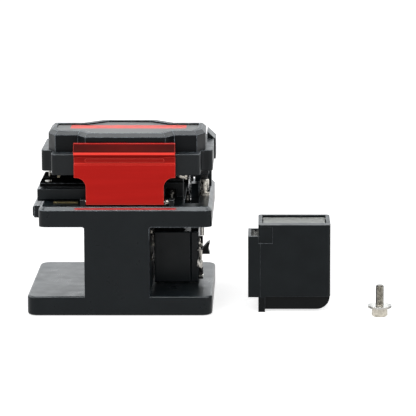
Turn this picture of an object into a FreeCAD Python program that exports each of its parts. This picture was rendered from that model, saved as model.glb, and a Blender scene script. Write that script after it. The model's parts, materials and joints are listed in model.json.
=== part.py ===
import FreeCAD, Part
import os
import re
import Sketcher

# Fibre cleaver: an I-shaped frame with a hinged lid above it, a blade carriage that
# slides in the right bay, a front latch and a scrap box that stands beside the frame.
# Millimetres. X runs to the user's right, Y to the back, Z up. The origin is the
# centre of the underside.

doc = FreeCAD.newDocument("fibre_cleaver")
sheet = doc.addObject("Spreadsheet::Sheet", "sizes")
sub_parts = []

# ---------------------------------------------------------------- driving dimensions

SIZES = {
    # frame: base plate, column and deck
    "base_width": 70.0,
    "base_depth": 65.0,
    "base_under": 0.3,
    "base_top": 7.66,
    "base_corner": 4.0,
    "edge_round": 0.8,
    "column_left": -13.1,
    "column_right": 11.4,
    "deck_left": -30.25,
    "deck_right": 34.95,
    "deck_under": 34.3,
    "deck_top": 41.9,
    "deck_corner": 3.0,
    "deck_bevel": 1.3,
    # rubber pad let into the underside
    "pad_border": 6.5,
    "pad_recess": 1.2,
    "pad_gap": 0.1,
    # clearances used throughout
    "body_gap": 0.35,
    "pin_gap": 0.05,
    "press_gap": 0.02,
    # fibre line and blade
    "fibre_height": 48.95,
    "fibre_depth": -6.0,
    "fibre_room": 0.3,
    "blade_radius": 9.0,
    "blade_thick": 0.6,
    "blade_left": 25.5,
    "blade_hub_radius": 2.6,
    "spindle_radius": 1.5,
    "spindle_head_radius": 2.4,
    "spindle_head_thick": 0.7,
    "index_marks": 24,
    "index_mark_radius": 0.3,
    "carriage_travel": 14.0,
    # blade slot through the deck
    "slot_left": 24.4,
    "slot_side_gap": 0.5,
    "slot_end_gap": 1.5,
    # carriage block and its rail
    "block_gap": 0.9,
    "block_right": 26.4,
    "block_front": -10.0,
    "block_back": 24.0,
    "block_under": 8.4,
    "blade_room": 2.65,
    "block_top": "=fibre_height - 2 * blade_radius - blade_room",
    "block_step_back": 6.0,
    "block_step_right": 24.0,
    "block_step_gap": 0.7,
    "plate_thick": 3.0,
    "neck_front": 5.0,
    "neck_over": 5.6,
    "rail_drop": 2.9,
    "rail_high": 13.6,
    "rail_top": "=deck_under - rail_drop",
    "rail_under": "=rail_top - rail_high",
    "rail_front": -18.0,
    "rail_back": 30.0,
    "rail_inset": 2.4,
    "block_nose": 2.0,
    "dovetail_deep": 4.0,
    "dovetail_narrow": 4.6,
    "dovetail_wide": 7.0,
    "dovetail_gap": 0.08,
    "rail_screw_radius": 1.6,
    "rail_screw_proud": 0.55,
    "rail_screw_along": 2.4,
    "rail_screw_up": 1.9,
    "rail_key_deep": 0.35,
    # parts on the right face of the carriage
    "side_screw_radius": 2.3,
    "side_screw_thick": 1.6,
    "side_screw_drop": 4.6,
    "side_screw_lift": 3.0,
    "side_screw_high": "=block_top - side_screw_drop",
    "side_screw_low": "=block_under + side_screw_lift",
    "side_screw_behind": 3.0,
    "pawl_thick": 0.7,
    "pawl_length": 9.0,
    "pawl_top_width": 3.4,
    "pawl_foot_width": 1.4,
    "tab_reach": 3.9,
    "tab_thick": 2.0,
    "tab_front": 8.0,
    "tab_depth": 4.5,
    "tab_drop": 12.5,
    "tab_under": "=block_top - tab_drop",
    "tab_high": 4.0,
    "striker_radius": 0.75,
    "striker_x": 30.75,
    # fibre holder on the left of the deck
    "holder_left": -31.5,
    "holder_right": -9.0,
    "holder_front": -20.0,
    "holder_back": 8.0,
    "holder_top": 46.7,
    "holder_foot": 1.0,
    "holder_plate_inset": 0.9,
    "holder_plate_under": 47.3,
    "holder_plate_top": 48.8,
    "holder_groove": 0.6,
    "holder_neck_in": 2.0,
    "holder_screw_in": 4.0,
    "holder_screw_radius": 1.3,
    "holder_screw_proud": 0.5,
    "side_rail_left": -33.6,
    "side_rail_front": -18.0,
    "side_rail_under": 35.3,
    "side_rail_top": 40.0,
    # rest on the deck below the lid's tail
    "rest_left": 27.5,
    "rest_right": 34.0,
    "rest_front": 13.0,
    "rest_back": 20.0,
    # lower clamps
    "clamp_left": 14.0,
    "clamp_right": 23.6,
    "clamp_width": 9.0,
    "rubber_thick": 0.8,
    "post_x": 31.7,
    "post_radius": 1.7,
    # upper clamps and anvil, sprung inside the lid
    "right_clamp_left": 29.9,
    "right_clamp_right": 33.4,
    "clamp_travel": 1.0,
    "clamp_guide": 1.6,
    "clamp_head": 3.9,
    "right_clamp_width": 5.0,
    "press_foot_left": -26.8,
    "press_foot_under": 50.2,
    "anvil_left": 26.4,
    "anvil_right": 28.4,
    "anvil_width": 4.0,
    "spring_wire": 0.4,
    "spring_radius": 1.4,
    # hinge at the back
    "hinge_back": 26.0,
    "hinge_high": 56.0,
    "hinge_radius": 3.0,
    "hinge_pin_radius": 1.5,
    "bracket_left": -20.0,
    "bracket_right": 25.0,
    "bracket_thick": 5.0,
    "bracket_foot": 3.0,
    "knuckle_width": 5.0,
    # lid: lower housing, wings and upper cover
    "lid_centre": 2.6,
    "lid_half": 28.0,
    "wing_half": 32.5,
    "lid_front": -28.5,
    "wing_front": -18.5,
    "wing_back": 9.0,
    "lid_back": 22.0,
    "lid_under": 53.4,
    "lid_split": 61.4,
    "lid_top": 69.4,
    "lid_wall": 2.2,
    "lid_corner": 1.6,
    "wing_wall": 1.4,
    "cover_front": -29.4,
    "cover_step": -23.7,
    "cover_corner": -17.2,
    "cover_side_back": -0.5,
    "cover_back": 6.5,
    "boss_half": 15.0,
    "boss_foot_half": 18.2,
    "shoulder_half": 26.7,
    "cover_half": 29.7,
    "cover_rear_foot": 17.9,
    "cover_rear_half": 10.8,
    "cover_bevel": 1.4,
    "label_deep": 1.1,
    "label_thick": 0.5,
    "label_border": 2.6,
    "lid_screw_radius": 1.6,
    "lid_screw_proud": 0.8,
    "lid_screw_side": 6.0,
    "lid_screw_gap": 5.5,
    "lid_screw_in": 3.0,
    "lid_key": 1.5,
    "lid_key_deep": 0.5,
    "tail_left": 32.4,
    "tail_right": 35.7,
    "tail_front": 10.0,
    "tail_back": 22.0,
    "tail_top": 64.3,
    "tail_side_top": 61.2,
    # front latch
    "latch_centre": 2.3,
    "latch_half": 19.0,
    "waist_half": 14.6,
    "latch_front": -31.0,
    "latch_thick": 2.2,
    "latch_under": 42.4,
    "waist_top": 49.1,
    "latch_curve": 3.8,
    "latch_face_top": 57.8,
    "latch_groove": 0.9,
    "latch_ridge": 62.4,
    "latch_ridge_out": 2.0,
    "latch_top": 66.0,
    "latch_pin_radius": 0.6,
    "latch_lug": 1.8,
    "latch_bar": 2.4,
    "latch_spring_room": 2.0,
    "rib_under": 58.4,
    "rib_top": 60.1,
    # scrap box, standing beside the frame, and its slide to the seated place
    "dock_across": 17.1,
    "dock_lift": 2.6,
    "box_seat_gap": 0.3,
    "box_wide": 27.4,
    "box_left": "=base_width / 2 + box_seat_gap + dock_across",
    "box_right": "=box_left + box_wide",
    "box_front": -25.0,
    "box_back": -3.0,
    "box_under": 6.0,
    "box_top": 33.7,
    "box_wall": 1.5,
    "box_corner": 1.6,
    "box_rim_front": 4.6,
    "sump_front": -23.6,
    "sump_under": 0.9,
    "sump_corner": 5.0,
    "leg_width": 2.55,
    "mouth_reach": 3.9,
    "mouth_left": "=box_left - mouth_reach",
    "mouth_back": -8.4,
    "mouth_under": 5.75,
    "mouth_drop": 2.4,
    "mouth_top": "=deck_under - dock_lift - mouth_drop",
    "mouth_wall": 1.2,
    "notch_width": 5.4,
    "notch_under": 26.6,
    "box_lid_under": 31.6,
    "box_lid_thick": 1.2,
    "box_lid_pin": 0.5,
    "ear_back": 9.0,
    "ear_thick": 2.0,
    "ear_high": 8.7,
    "ear_slot_gap": 0.2,
    # M3 fixing screw, standing on its head, and its hole in the base
    "screw_x": 98.3,
    "screw_y": -31.4,
    "screw_head_radius": 3.0,
    "screw_head_high": 3.4,
    "screw_flange_radius": 4.5,
    "screw_flange_high": 0.8,
    "thread_radius": 1.5,
    "thread_long": 7.8,
    "fixing_y": 3.5,
    "fixing_z": 5.0,
    "fixing_hole": 1.5,
    "fixing_deep": 10.0,
}


def is_alias(word):
    return word in SIZES


def formula(text):
    """Turns the alias names in a formula into references to the sheet."""
    word = re.compile(r"[a-z_][a-z_0-9]*")
    return word.sub(lambda found: "sizes." + found.group() if is_alias(found.group()) else found.group(), text)


def value(text):
    """The number that a formula gives with the sheet's present sizes."""
    return float(sheet.evalExpression(formula(str(text))))


def bind(thing, prop, text):
    thing.setExpression(prop, formula(str(text)))


def fill_sheet():
    for row, (name, number) in enumerate(SIZES.items(), 1):
        sheet.set(f"A{row}", name)
        sheet.set(f"B{row}", str(number))
        sheet.setAlias(f"B{row}", name)
    doc.recompute()


# ---------------------------------------------------------------- building blocks


def sub_part(thing, label):
    thing.Label = label
    sub_parts.append(thing)
    return thing


def new_body(label):
    return sub_part(doc.addObject("PartDesign::Body", label), label)


def sketch_on(body, role, offset):
    """A sketch on one of the body's origin planes, shifted along the plane's normal."""
    sketch = body.newObject("Sketcher::SketchObject", "outline")
    plane = [feature for feature in body.Origin.OriginFeatures if feature.Role == role][0]
    sketch.AttachmentSupport = [(plane, "")]
    sketch.MapMode = "FlatFace"
    bind(sketch, "AttachmentOffset.Base.z", offset)
    return sketch


def draw_polygon(sketch, points):
    """A closed outline whose corners are tied to pairs of formulas."""
    corners = [FreeCAD.Vector(value(x), value(y), 0) for x, y in points]
    first = sketch.GeometryCount
    for index, corner in enumerate(corners):
        following = corners[(index + 1) % len(corners)]
        sketch.addGeometry(Part.LineSegment(corner, following), False)
    for index, (x, y) in enumerate(points):
        line = first + index
        following = first + (index + 1) % len(points)
        sketch.addConstraint(Sketcher.Constraint("Coincident", line, 2, following, 1))
        across = sketch.addConstraint(Sketcher.Constraint("DistanceX", -1, 1, line, 1, corners[index].x))
        bind(sketch, f"Constraints[{across}]", x)
        up = sketch.addConstraint(Sketcher.Constraint("DistanceY", -1, 1, line, 1, corners[index].y))
        bind(sketch, f"Constraints[{up}]", y)


def draw_circle(sketch, centre, radius):
    middle = FreeCAD.Vector(value(centre[0]), value(centre[1]), 0)
    circle = sketch.addGeometry(Part.Circle(middle, FreeCAD.Vector(0, 0, 1), value(radius)), False)
    across = sketch.addConstraint(Sketcher.Constraint("DistanceX", -1, 1, circle, 3, middle.x))
    bind(sketch, f"Constraints[{across}]", centre[0])
    up = sketch.addConstraint(Sketcher.Constraint("DistanceY", -1, 1, circle, 3, middle.y))
    bind(sketch, f"Constraints[{up}]", centre[1])
    size = sketch.addConstraint(Sketcher.Constraint("Radius", circle, value(radius)))
    bind(sketch, f"Constraints[{size}]", radius)


def extrude(body, role, draw, low, high, cut):
    """Pads or pockets what draw puts in a sketch, between two places along the plane's axis."""
    before = body.Shape.Volume if body.Tip else 0.0
    toward_front = role == "XZ_Plane"
    if toward_front:
        offset = f"-({low})" if cut else f"-({high})"
    else:
        offset = high if cut else low
    sketch = sketch_on(body, role, offset)
    draw(sketch)
    feature = body.newObject("PartDesign::Pocket" if cut else "PartDesign::Pad", "cut" if cut else "solid")
    feature.Profile = sketch
    bind(feature, "Length", f"({high}) - ({low})")
    doc.recompute()
    change = body.Shape.Volume - before
    if (cut and change > -1e-6) or (not cut and change < 1e-6):
        raise RuntimeError(f"{body.Label}: a feature between {low} and {high} changed nothing")
    return feature


def prism(body, role, points, low, high, cut=False):
    return extrude(body, role, lambda sketch: draw_polygon(sketch, points), low, high, cut)


def disc(body, role, centre, radius, low, high, cut=False):
    return extrude(body, role, lambda sketch: draw_circle(sketch, centre, radius), low, high, cut)


def rectangle(left, right, low, high):
    return [(left, low), (right, low), (right, high), (left, high)]


def brick(body, x, y, z, cut=False):
    """A box given by its low and high formula along each axis."""
    return prism(body, "XY_Plane", rectangle(x[0], x[1], y[0], y[1]), z[0], z[1], cut)


def edge_names(body, chosen):
    shape = body.Tip.Shape
    return [f"Edge{number}" for number, edge in enumerate(shape.Edges, 1) if chosen(edge)]


def finish_feature(body, feature):
    doc.recompute()
    if "Invalid" in feature.State or feature.Shape.isNull():
        raise RuntimeError(f"{body.Label}: {feature.Label} could not be made")


def round_edges(body, radius, chosen):
    """Rounds the edges that chosen picks from the body's present shape."""
    names = edge_names(body, chosen)
    if not names:
        raise RuntimeError(f"{body.Label}: no edge to round")
    base = body.Tip
    fillet = body.newObject("PartDesign::Fillet", "rounding")
    fillet.Base = (base, names)
    bind(fillet, "Radius", radius)
    finish_feature(body, fillet)


def bevel_edges(body, width, chosen):
    names = edge_names(body, chosen)
    if not names:
        raise RuntimeError(f"{body.Label}: no edge to bevel")
    base = body.Tip
    chamfer = body.newObject("PartDesign::Chamfer", "bevel")
    chamfer.Base = (base, names)
    bind(chamfer, "Size", width)
    finish_feature(body, chamfer)


def near(a, b):
    return abs(a - b) < 0.01


def runs_along(edge, axis):
    direction = edge.tangentAt((edge.FirstParameter + edge.LastParameter) / 2)
    return abs(abs(getattr(direction, axis)) - 1) < 1e-4


def lies_at(edge, axis, place):
    box = edge.BoundBox
    low = getattr(box, axis + "Min")
    high = getattr(box, axis + "Max")
    return near(low, value(place)) and near(high, value(place))


def within(edge, axis, low, high):
    box = edge.BoundBox
    return getattr(box, axis + "Min") > value(low) - 0.01 and getattr(box, axis + "Max") < value(high) + 0.01


TURN_TO = {
    "X": FreeCAD.Rotation(FreeCAD.Vector(0, 1, 0), 90),
    "Y": FreeCAD.Rotation(FreeCAD.Vector(1, 0, 0), -90),
    "Z": FreeCAD.Rotation(),
}


def place_along(thing, axis, centre, low):
    """Puts a thing drawn along Z onto an axis through centre, starting at low."""
    thing.Placement = FreeCAD.Placement(FreeCAD.Vector(), TURN_TO[axis])
    places = dict(zip([name for name in "XYZ" if name != axis], centre))
    places[axis] = low
    for name, text in places.items():
        bind(thing, f"Placement.Base.{name.lower()}", text)


def rod(name, axis, centre, radius, low, high):
    cylinder = doc.addObject("Part::Cylinder", name)
    bind(cylinder, "Radius", radius)
    bind(cylinder, "Height", f"({high}) - ({low})")
    place_along(cylinder, axis, centre, low)
    return cylinder


def block(name, x, y, z):
    box = doc.addObject("Part::Box", name)
    for prop, (low, high) in zip(("Length", "Width", "Height"), (x, y, z)):
        bind(box, prop, f"({high}) - ({low})")
    for prop, (low, high) in zip("xyz", (x, y, z)):
        bind(box, f"Placement.Base.{prop}", low)
    return box


def socket(name, axis, centre, across, low, high):
    """A hexagon socket's tool, measured across its flats."""
    hexagon = doc.addObject("Part::Prism", name)
    hexagon.Polygon = 6
    bind(hexagon, "Circumradius", f"({across}) / sqrt(3)")
    bind(hexagon, "Height", f"({high}) - ({low})")
    place_along(hexagon, axis, centre, low)
    return hexagon


def fuse(name, pieces):
    union = doc.addObject("Part::MultiFuse", name)
    union.Shapes = pieces
    return union


def carve(name, base, tools):
    result = doc.addObject("Part::Cut", name)
    result.Base = base
    result.Tool = tools[0] if len(tools) == 1 else fuse(name + "_tools", tools)
    return result


def group(name, pieces):
    """Like pieces that stay separate solids in one node."""
    compound = doc.addObject("Part::Compound", name)
    compound.Links = pieces
    return compound


# ---------------------------------------------------------------- frame and fixed parts

BASE_X = ("-base_width / 2", "base_width / 2")
BASE_Y = ("-base_depth / 2", "base_depth / 2")
BLADE_Y = "fibre_depth + carriage_travel / 2"
BLADE_Z = "fibre_height - blade_radius"
NECK_RIGHT = "block_right + plate_thick"
SLOT_RIGHT = f"{NECK_RIGHT} + slot_side_gap"
SLOT_BACK = f"{BLADE_Y} + blade_radius + slot_end_gap"
SLOT_FRONT = f"{BLADE_Y} - carriage_travel - blade_radius - slot_end_gap"
DOVETAIL_MIDDLE = "(rail_under + rail_top) / 2"
GROOVE_FRONT = "block_front + block_nose"


def dovetail_outline(gap):
    """The rail's undercut head, or with a gap the groove that runs on it."""
    spread = f"({gap})"
    low_narrow = f"{DOVETAIL_MIDDLE} - dovetail_narrow / 2 - {spread}"
    high_narrow = f"{DOVETAIL_MIDDLE} + dovetail_narrow / 2 + {spread}"
    low_wide = f"{DOVETAIL_MIDDLE} - dovetail_wide / 2 - {spread}"
    high_wide = f"{DOVETAIL_MIDDLE} + dovetail_wide / 2 + {spread}"
    tip = f"column_right + dovetail_deep + {spread}"
    return [("column_right", low_narrow), (tip, low_wide), (tip, high_wide), ("column_right", high_narrow)]


def make_frame_casting():
    body = new_body("frame_casting")
    brick(body, BASE_X, BASE_Y, ("base_under", "base_top"))
    round_edges(body, "base_corner", lambda e: runs_along(e, "z"))
    round_edges(body, "edge_round", lambda e: lies_at(e, "Z", "base_top") or lies_at(e, "Z", "base_under"))
    brick(body, ("column_left", "column_right"), BASE_Y, ("base_top - edge_round", "deck_under"))
    brick(body, ("deck_left", "deck_right"), BASE_Y, ("deck_under", "deck_top"))
    round_edges(
        body, "deck_corner",
        lambda e: runs_along(e, "z") and within(e, "Z", "deck_under", "deck_top")
        and not within(e, "X", "column_left", "column_right"),
    )
    bevel_edges(body, "deck_bevel", lambda e: lies_at(e, "Z", "deck_top"))
    round_edges(
        body, "edge_round",
        lambda e: runs_along(e, "y") and within(e, "X", "column_left", "column_right")
        and lies_at(e, "Z", "deck_under"),
    )
    brick(body, ("slot_left", SLOT_RIGHT), (SLOT_FRONT, SLOT_BACK), ("deck_under", "deck_top"), cut=True)
    rest_y = ("rest_front", "rest_back")
    brick(body, ("rest_left", "rest_right"), rest_y, ("deck_top", "lid_under - body_gap"))
    pad_x = ("-base_width / 2 + pad_border", "base_width / 2 - pad_border")
    pad_y = ("-base_depth / 2 + pad_border", "base_depth / 2 - pad_border")
    brick(body, pad_x, pad_y, ("base_under", "base_under + pad_recess"), cut=True)
    rail_plate = (("column_right - rail_inset", "column_right"), ("rail_front", "rail_back"))
    brick(body, *rail_plate, ("rail_under", "rail_top"), cut=True)
    deep = "base_width / 2 - fixing_deep"
    disc(body, "YZ_Plane", ("fixing_y", "fixing_z"), "fixing_hole", deep, "base_width / 2", cut=True)


def make_base_pad():
    """Anti-slip rubber that fills the recess under the base and stands just below it."""
    body = new_body("base_pad")
    edge = "pad_border + pad_gap"
    pad_x = (f"-base_width / 2 + {edge}", f"base_width / 2 - ({edge})")
    pad_y = (f"-base_depth / 2 + {edge}", f"base_depth / 2 - ({edge})")
    brick(body, pad_x, pad_y, ("0", "base_under + pad_recess"))
    round_edges(body, "edge_round", lambda e: runs_along(e, "z"))


def make_guide_rail():
    """Steel plate let flush into the column, with a dovetail head that carries the carriage."""
    body = new_body("guide_rail")
    gap = "press_gap"
    plate_x = ("column_right - rail_inset", "column_right")
    plate_y = (f"rail_front + {gap}", f"rail_back - {gap}")
    brick(body, plate_x, plate_y, (f"rail_under + {gap}", f"rail_top - {gap}"))
    head_front = f"{GROOVE_FRONT} + body_gap"
    prism(body, "XZ_Plane", dovetail_outline("0"), head_front, f"rail_back - {gap}")


def make_rail_screws():
    """Four low-headed screws, two at each end of the rail plate."""
    screws = []
    top = "column_right + rail_screw_proud"
    radius = "rail_screw_radius"
    for end, along in (("front", "rail_front + rail_screw_along"), ("back", "rail_back - rail_screw_along")):
        for row, up in (("low", "rail_under + rail_screw_up"), ("high", "rail_top - rail_screw_up")):
            head = rod(f"rail_screw_{end}_{row}", "X", (along, up), radius, "column_right", top)
            key = socket(f"rail_key_{end}_{row}", "X", (along, up), radius, f"{top} - rail_key_deep", top)
            screws.append(carve(f"rail_screw_keyed_{end}_{row}", head, [key]))
    sub_part(group("rail_screw_set", screws), "rail_screws")


def make_striker_pin():
    """Hanging pin in the underside of the deck, in line with the pawl's upper end."""
    along = "block_front + side_screw_behind"
    low = "side_screw_high + side_screw_radius + fibre_room"
    pin = rod("striker", "Z", ("striker_x", along), "striker_radius", low, "deck_under")
    collar = rod("striker_collar", "Z", ("striker_x", along), "striker_radius * 1.5", "deck_under - 0.8", "deck_under")
    sub_part(fuse("striker_union", [pin, collar]), "striker_pin")


def make_fibre_holder():
    """Block on the left of the deck with a grooved plate above it, and a rail on the deck's side."""
    body = new_body("fibre_holder_block")
    brick(body, ("holder_left", "holder_right"), ("holder_front", "holder_back"), ("deck_top", "holder_top"))
    bevel_edges(body, "holder_foot", lambda e: lies_at(e, "Z", "deck_top") and runs_along(e, "x"))
    neck_x = ("holder_left + holder_neck_in", "holder_right - holder_neck_in")
    neck_y = ("holder_front + holder_neck_in", "holder_back - holder_neck_in")
    brick(body, neck_x, neck_y, ("holder_top", "holder_plate_under"))

    plate = new_body("fibre_holder_plate")
    inset = "holder_plate_inset"
    plate_x = (f"holder_left + {inset}", f"holder_right - {inset}")
    plate_y = (f"holder_front + {inset}", f"holder_back - {inset}")
    brick(plate, plate_x, plate_y, ("holder_plate_under", "holder_plate_top"))
    round_edges(plate, "edge_round", lambda e: runs_along(e, "z"))
    groove = [
        ("fibre_depth - holder_groove", "holder_plate_top"),
        ("fibre_depth", "holder_plate_top - holder_groove"),
        ("fibre_depth + holder_groove", "holder_plate_top"),
    ]
    prism(plate, "YZ_Plane", groove, plate_x[0], plate_x[1], cut=True)

    screws = []
    head_z = ("holder_plate_top", "holder_plate_top + holder_screw_proud")
    for side, across in (("left", "holder_left + holder_screw_in"), ("right", "holder_right - holder_screw_in")):
        for end, along in (("front", "holder_front + holder_screw_in"), ("back", "holder_back - holder_screw_in")):
            name = f"holder_screw_{side}_{end}"
            screws.append(rod(name, "Z", (across, along), "holder_screw_radius", *head_z))
    sub_part(group("holder_screw_set", screws), "holder_screws")

    rail = new_body("side_rail")
    rail_y = ("side_rail_front", "-(side_rail_front)")
    brick(rail, ("side_rail_left", "deck_left"), rail_y, ("side_rail_under", "side_rail_top"))
    bevel_edges(rail, "edge_round", lambda e: lies_at(e, "X", "side_rail_left"))


def make_lower_clamps():
    """Left clamp block with its rubber pad, and the right clamp post with its ring and pad."""
    pad_under = "fibre_height - rubber_thick"
    clamp_y = ("fibre_depth - clamp_width / 2", "fibre_depth + clamp_width / 2")
    body = new_body("left_lower_clamp")
    brick(body, ("clamp_left", "clamp_right"), clamp_y, ("deck_top", pad_under))
    bevel_edges(body, "edge_round", lambda e: runs_along(e, "x") and lies_at(e, "Z", pad_under))
    recess_x = ("clamp_left + 2.5", "clamp_right - 2.5")
    brick(body, recess_x, (clamp_y[0], "fibre_depth - 1"), ("deck_top", "deck_top + 3.4"), cut=True)

    pad = new_body("left_lower_rubber")
    pad_y = ("fibre_depth - clamp_width / 2 + 1", "fibre_depth + clamp_width / 2 - 1")
    brick(pad, ("clamp_left + 0.6", "clamp_right - 0.6"), pad_y, (pad_under, "fibre_height"))

    stand = ("(clamp_left + clamp_right) / 2", "fibre_depth - clamp_width / 2 + 1.7")
    screw = rod("height_screw_stem", "Z", stand, "1.2", "deck_top", "deck_top + 2.6")
    collar = rod("height_screw_rim", "Z", stand, "1.6", "deck_top + 1.1", "deck_top + 1.7")
    sub_part(fuse("height_screw_union", [screw, collar]), "clamp_height_screw")

    post = new_body("right_lower_clamp")
    centre = ("post_x", "fibre_depth")
    disc(post, "XY_Plane", centre, "post_radius + 0.3", "deck_top", "deck_top + 1.2")
    disc(post, "XY_Plane", centre, "post_radius - 0.5", "deck_top + 1.2", "deck_top + 2.2")
    disc(post, "XY_Plane", centre, "post_radius", "deck_top + 2.2", pad_under)
    round_edges(post, "0.3", lambda e: lies_at(e, "Z", pad_under))
    rubber = rod("right_rubber", "Z", centre, "post_radius - 0.4", pad_under, "fibre_height")
    sub_part(rubber, "right_lower_rubber")


def hinge_bearing(body, left, right, foot):
    """A plate that stands on its foot and is round about the hinge's axis."""
    side = [
        ("hinge_back - hinge_radius", foot),
        ("hinge_back + hinge_radius", foot),
        ("hinge_back + hinge_radius", "hinge_high"),
        ("hinge_back - hinge_radius", "hinge_high"),
    ]
    prism(body, "YZ_Plane", side, left, right)
    disc(body, "YZ_Plane", ("hinge_back", "hinge_high"), "hinge_radius", left, right)


def make_hinge_brackets():
    for name, left in (("left_hinge_bracket", "bracket_left"), ("right_hinge_bracket", "bracket_right - bracket_thick")):
        body = new_body(name)
        right = f"{left} + bracket_thick"
        hinge_bearing(body, left, right, "deck_top")
        foot_y = ("hinge_back - hinge_radius - 1", "base_depth / 2 - deck_bevel")
        brick(body, (f"{left} - 1.5", f"{right} + 1.5"), foot_y, ("deck_top", "deck_top + bracket_foot"))
        bore = "hinge_pin_radius + press_gap"
        disc(body, "YZ_Plane", ("hinge_back", "hinge_high"), bore, left, right, cut=True)
    pin_x = ("bracket_left - 0.4", "bracket_right + 0.4")
    pin = rod("hinge_pin_shaft", "X", ("hinge_back", "hinge_high"), "hinge_pin_radius", *pin_x)
    sub_part(pin, "hinge_pin")


# ---------------------------------------------------------------- blade carriage

BLOCK_LEFT = "column_right + block_gap"
SIDE_SCREW_Y = "block_front + side_screw_behind"
DECK_CLEAR = "deck_under - block_step_gap"


def make_carriage_block():
    body = new_body("carriage_block")
    block_y = ("block_front", "block_back")
    brick(body, (BLOCK_LEFT, "block_right"), block_y, ("block_under", "block_top"))
    step_y = ("block_front + block_step_back", "block_back")
    brick(body, (BLOCK_LEFT, "block_step_right"), step_y, ("block_top", DECK_CLEAR))
    bevel_edges(body, "edge_round / 2", lambda e: lies_at(e, "Y", "block_front"))
    prism(body, "XZ_Plane", dovetail_outline("dovetail_gap"), GROOVE_FRONT, "block_back", cut=True)


def make_blade_plate():
    """Side plate of the carriage, with a neck that reaches up through the slot to the spindle."""
    body = new_body("blade_plate")
    plate_x = ("block_right", NECK_RIGHT)
    brick(body, plate_x, ("block_front", "block_back"), ("block_under", "block_top"))
    bevel_edges(body, "edge_round / 2", lambda e: lies_at(e, "Y", "block_front"))
    neck = [
        (f"{BLADE_Y} - neck_front - 1", "block_top"),
        (f"{BLADE_Y} + neck_front + 1", "block_top"),
        (f"{BLADE_Y} + neck_front", BLADE_Z),
        (f"{BLADE_Y} + 2.4", f"{BLADE_Z} + neck_over"),
        (f"{BLADE_Y} - 2.4", f"{BLADE_Z} + neck_over"),
        (f"{BLADE_Y} - neck_front", BLADE_Z),
    ]
    prism(body, "YZ_Plane", neck, *plate_x)
    bore = "spindle_radius + press_gap"
    disc(body, "YZ_Plane", (BLADE_Y, BLADE_Z), bore, *plate_x, cut=True)


def make_blade_spindle():
    """Stepped shaft through the neck, with a flat head that keeps the blade on."""
    centre = (BLADE_Y, BLADE_Z)
    head_left = "blade_left - 0.1 - spindle_head_thick"
    head = rod("spindle_head", "X", centre, "spindle_head_radius", head_left, "blade_left - 0.1")
    shaft = rod("spindle_shaft", "X", centre, "spindle_radius", "blade_left - 0.1", NECK_RIGHT)
    slot = block(
        "spindle_slot",
        (head_left, f"{head_left} + 0.3"),
        (f"{BLADE_Y} - spindle_head_radius", f"{BLADE_Y} + spindle_head_radius"),
        (f"{BLADE_Z} - 0.3", f"{BLADE_Z} + 0.3"),
    )
    sub_part(carve("spindle_cut", fuse("spindle_union", [head, shaft]), [slot]), "blade_spindle")


def make_blade_wheel():
    """Round blade with an edge ground to both sides, a hub and 24 index notches in the hub."""
    body = new_body("blade_wheel")
    bore = "spindle_radius + pin_gap"
    edge = "blade_radius - blade_thick * 2"
    sketch = sketch_on(body, "XZ_Plane", f"-({BLADE_Y})")
    draw_polygon(sketch, [
        ("blade_left", f"{BLADE_Z} + {bore}"),
        ("blade_left", f"{BLADE_Z} + {edge}"),
        ("blade_left + blade_thick / 2", f"{BLADE_Z} + blade_radius - 0.02"),
        ("blade_left + blade_thick", f"{BLADE_Z} + {edge}"),
        ("blade_left + blade_thick", f"{BLADE_Z} + blade_hub_radius"),
        ("block_right - 0.05", f"{BLADE_Z} + blade_hub_radius"),
        ("block_right - 0.05", f"{BLADE_Z} + {bore}"),
    ])
    axis = sketch.addGeometry(Part.LineSegment(
        FreeCAD.Vector(0, value(BLADE_Z), 0), FreeCAD.Vector(value("blade_left"), value(BLADE_Z), 0)), True)
    sketch.addConstraint(Sketcher.Constraint("Horizontal", axis))
    across = sketch.addConstraint(Sketcher.Constraint("DistanceX", -1, 1, axis, 1, 0.0))
    bind(sketch, f"Constraints[{across}]", "0")
    far = sketch.addConstraint(Sketcher.Constraint("DistanceX", -1, 1, axis, 2, value("blade_left")))
    bind(sketch, f"Constraints[{far}]", "blade_left")
    up = sketch.addConstraint(Sketcher.Constraint("DistanceY", -1, 1, axis, 1, value(BLADE_Z)))
    bind(sketch, f"Constraints[{up}]", BLADE_Z)
    wheel = body.newObject("PartDesign::Revolution", "wheel")
    wheel.Profile = sketch
    wheel.ReferenceAxis = (sketch, ["Axis0"])
    wheel.Angle = 360
    doc.recompute()
    mark = ("blade_left + blade_thick * 0.75", "blade_left + blade_thick")
    turn = "360 / index_marks"
    hole = (f"{BLADE_Y}", f"{BLADE_Z} + blade_radius * 0.6")
    cut = disc(body, "YZ_Plane", hole, "index_mark_radius", *mark, cut=True)
    pattern = body.newObject("PartDesign::PolarPattern", "index_marks")
    pattern.Originals = [cut]
    turning = body.newObject("PartDesign::Line", "turning_line")
    turning.Placement = FreeCAD.Placement(FreeCAD.Vector(), TURN_TO["X"])
    bind(turning, "Placement.Base.y", BLADE_Y)
    bind(turning, "Placement.Base.z", BLADE_Z)
    pattern.Axis = (turning, [""])
    pattern.Angle = 360
    bind(pattern, "Occurrences", "index_marks")
    body.Tip = pattern
    doc.recompute()


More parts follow.
